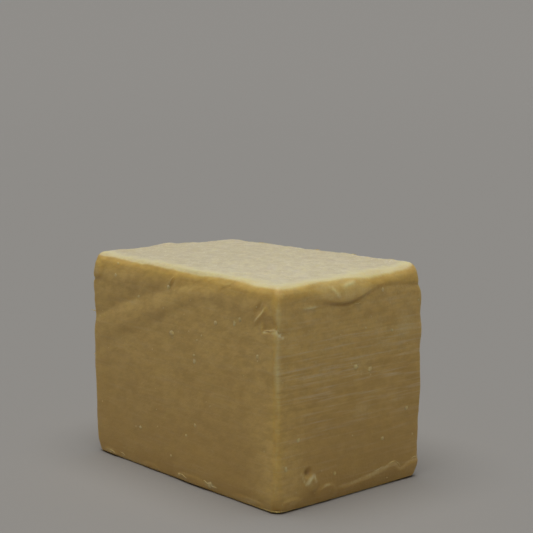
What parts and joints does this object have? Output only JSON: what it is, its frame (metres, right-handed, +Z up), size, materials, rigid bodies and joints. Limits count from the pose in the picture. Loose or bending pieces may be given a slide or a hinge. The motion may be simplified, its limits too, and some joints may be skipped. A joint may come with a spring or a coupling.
{
  "type": "block of sharp cheddar cheese",
  "caption": "Hand-cut block of sharp cheddar cheese with worn edges, a rolled lip over one end and a folded long face; stands on its flat base.",
  "frame": {"origin": "on the base, below the middle of the block's bounding box", "axes": "+X along the block towards the end face with the rolled lip, +Y across it away from the long face with the fold, +Z up"},
  "size_m": [0.1244, 0.082, 0.0907],
  "materials": {
    "cheddar": "waxy cut cheese, pale straw yellow, drier and paler on top"
  },
  "bodies": {
    "root": {"cheddar_block": "cheddar"}
  },
  "joints": []
}
